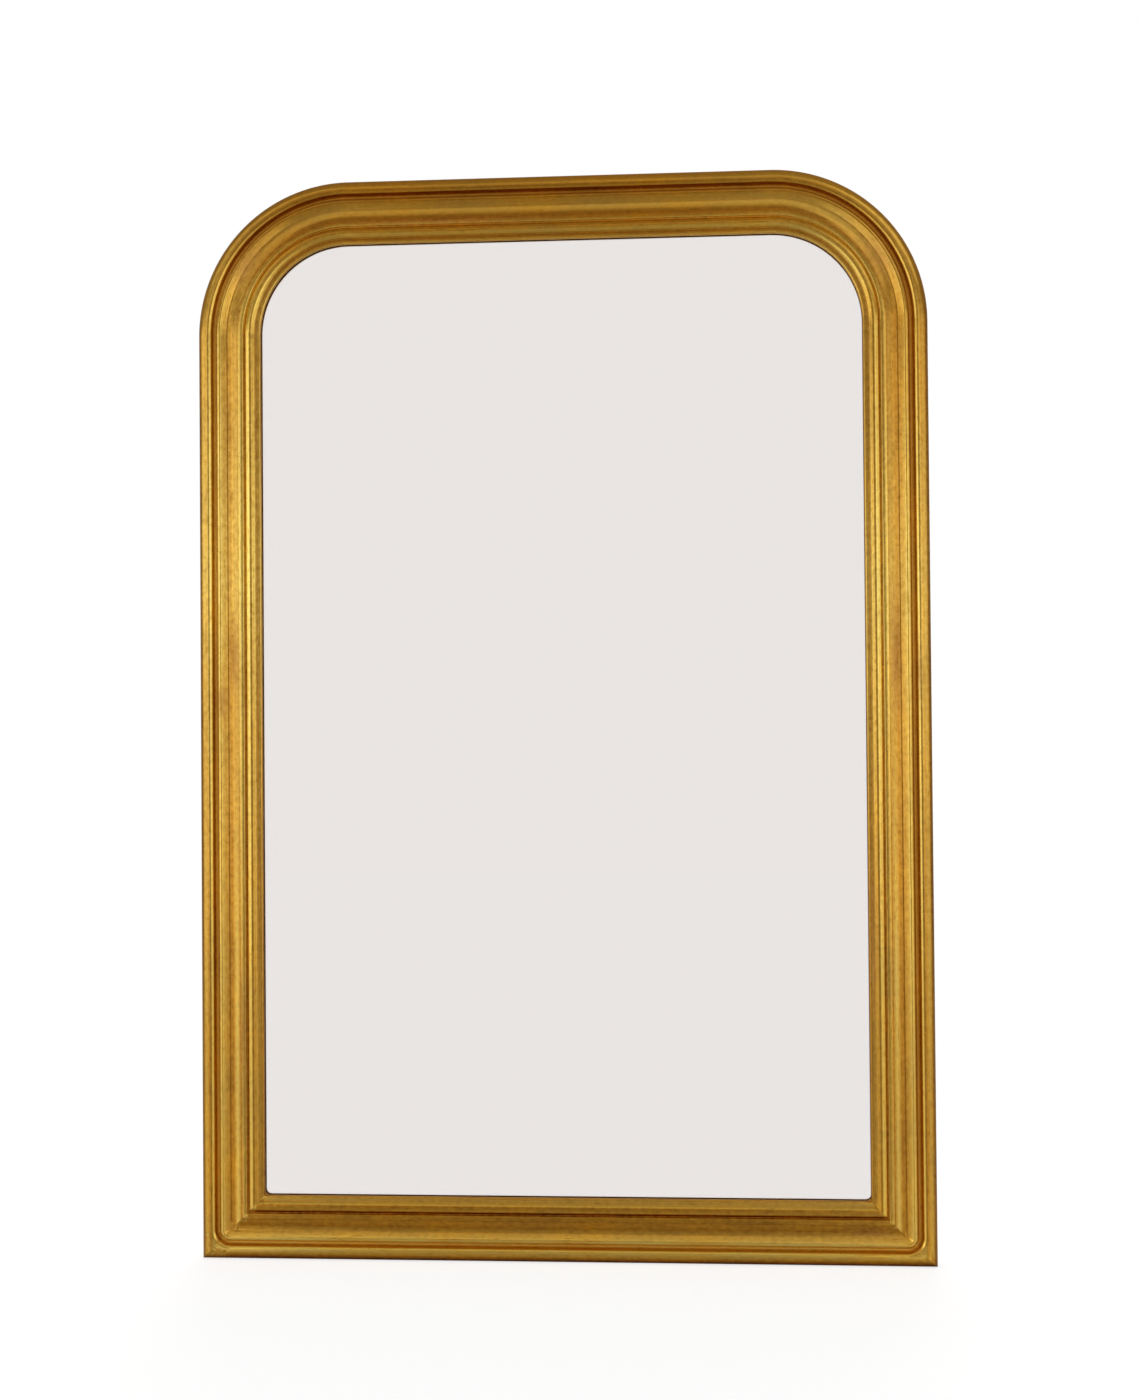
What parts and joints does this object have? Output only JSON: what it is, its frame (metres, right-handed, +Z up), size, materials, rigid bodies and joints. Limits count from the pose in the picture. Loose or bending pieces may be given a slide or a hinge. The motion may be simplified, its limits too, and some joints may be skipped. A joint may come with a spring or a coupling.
{
  "type": "wall mirror",
  "caption": "Arched wall mirror in a gilded, moulded wood frame, mitred at the foot and round at the top, with back board, turn buttons and hinged ring hangers.",
  "frame": {"origin": "on the wall plane that the bumpers touch, at the centre of the frame's width and height", "axes": "+X to the right of a person who looks into the mirror, +Y into the wall, +Z up; the mirror faces -Y"},
  "size_m": [0.8, 0.037, 1.185],
  "materials": {
    "gilded_wood": "aged gold leaf over red bole on a wood moulding, satin",
    "beech": "bare, glued",
    "pine": "bare, sawn",
    "plywood": "bare, sanded",
    "float_glass": "polished",
    "silvering": "silvered, grey paint behind",
    "zinc_steel": "zinc plated sheet",
    "ring_steel": "zinc plated wire",
    "screw_steel": "zinc plated",
    "rubber": "matte, moulded"
  },
  "bodies": {
    "frame": {"left_stile": "gilded_wood", "right_stile": "gilded_wood", "top_rail": "gilded_wood", "bottom_rail": "gilded_wood", "left_corner_block": "gilded_wood", "right_corner_block": "gilded_wood", "corner_dowels": "beech", "left_mitre_key": "beech", "right_mitre_key": "beech", "mirror_glass": "float_glass", "mirror_silvering": "silvering", "glass_pads": "rubber", "left_glass_blocks": "pine", "right_glass_blocks": "pine", "top_glass_blocks": "pine", "bottom_glass_blocks": "pine", "back_board": "plywood", "turn_button_screws": "screw_steel", "left_hanger_strap": "zinc_steel", "right_hanger_strap": "zinc_steel", "hanger_screws": "screw_steel", "bumper_top_left": "rubber", "bumper_top_right": "rubber", "bumper_bottom_left": "rubber", "bumper_bottom_right": "rubber"},
    "button_left_1": {"turn_button_left_1": "zinc_steel"},
    "button_left_2": {"turn_button_left_2": "zinc_steel"},
    "button_left_3": {"turn_button_left_3": "zinc_steel"},
    "button_right_1": {"turn_button_right_1": "zinc_steel"},
    "button_right_2": {"turn_button_right_2": "zinc_steel"},
    "button_right_3": {"turn_button_right_3": "zinc_steel"},
    "button_top_1": {"turn_button_top_1": "zinc_steel"},
    "button_top_2": {"turn_button_top_2": "zinc_steel"},
    "button_bottom_1": {"turn_button_bottom_1": "zinc_steel"},
    "button_bottom_2": {"turn_button_bottom_2": "zinc_steel"},
    "left_ring": {"left_d_ring": "ring_steel"},
    "right_ring": {"right_d_ring": "ring_steel"}
  },
  "joints": [
    {"name": "turn_button_left_1_turn", "type": "hinge", "parent": "frame", "child": "button_left_1", "pos_m": [-0.348, -0.006, -0.4605], "axis": [0, 1, 0], "continuous": true},
    {"name": "turn_button_left_2_turn", "type": "hinge", "parent": "frame", "child": "button_left_2", "pos_m": [-0.348, -0.006, -0.049], "axis": [0, 1, 0], "continuous": true},
    {"name": "turn_button_left_3_turn", "type": "hinge", "parent": "frame", "child": "button_left_3", "pos_m": [-0.348, -0.006, 0.3625], "axis": [0, 1, 0], "continuous": true},
    {"name": "turn_button_right_1_turn", "type": "hinge", "parent": "frame", "child": "button_right_1", "pos_m": [0.348, -0.006, -0.4605], "axis": [0, 1, 0], "continuous": true},
    {"name": "turn_button_right_2_turn", "type": "hinge", "parent": "frame", "child": "button_right_2", "pos_m": [0.348, -0.006, -0.049], "axis": [0, 1, 0], "continuous": true},
    {"name": "turn_button_right_3_turn", "type": "hinge", "parent": "frame", "child": "button_right_3", "pos_m": [0.348, -0.006, 0.3625], "axis": [0, 1, 0], "continuous": true},
    {"name": "turn_button_top_1_turn", "type": "hinge", "parent": "frame", "child": "button_top_1", "pos_m": [-0.15, -0.006, 0.5405], "axis": [0, 1, 0], "continuous": true},
    {"name": "turn_button_top_2_turn", "type": "hinge", "parent": "frame", "child": "button_top_2", "pos_m": [0.15, -0.006, 0.5405], "axis": [0, 1, 0], "continuous": true},
    {"name": "turn_button_bottom_1_turn", "type": "hinge", "parent": "frame", "child": "button_bottom_1", "pos_m": [-0.15, -0.006, -0.5405], "axis": [0, 1, 0], "continuous": true},
    {"name": "turn_button_bottom_2_turn", "type": "hinge", "parent": "frame", "child": "button_bottom_2", "pos_m": [0.15, -0.006, -0.5405], "axis": [0, 1, 0], "continuous": true},
    {"name": "left_ring_swing", "type": "hinge", "parent": "frame", "child": "left_ring", "pos_m": [-0.375, -0.00317, 0.2525], "axis": [1, 0, 0], "range_deg": [0, 180]},
    {"name": "right_ring_swing", "type": "hinge", "parent": "frame", "child": "right_ring", "pos_m": [0.375, -0.00317, 0.2525], "axis": [1, 0, 0], "range_deg": [0, 180]}
  ]
}
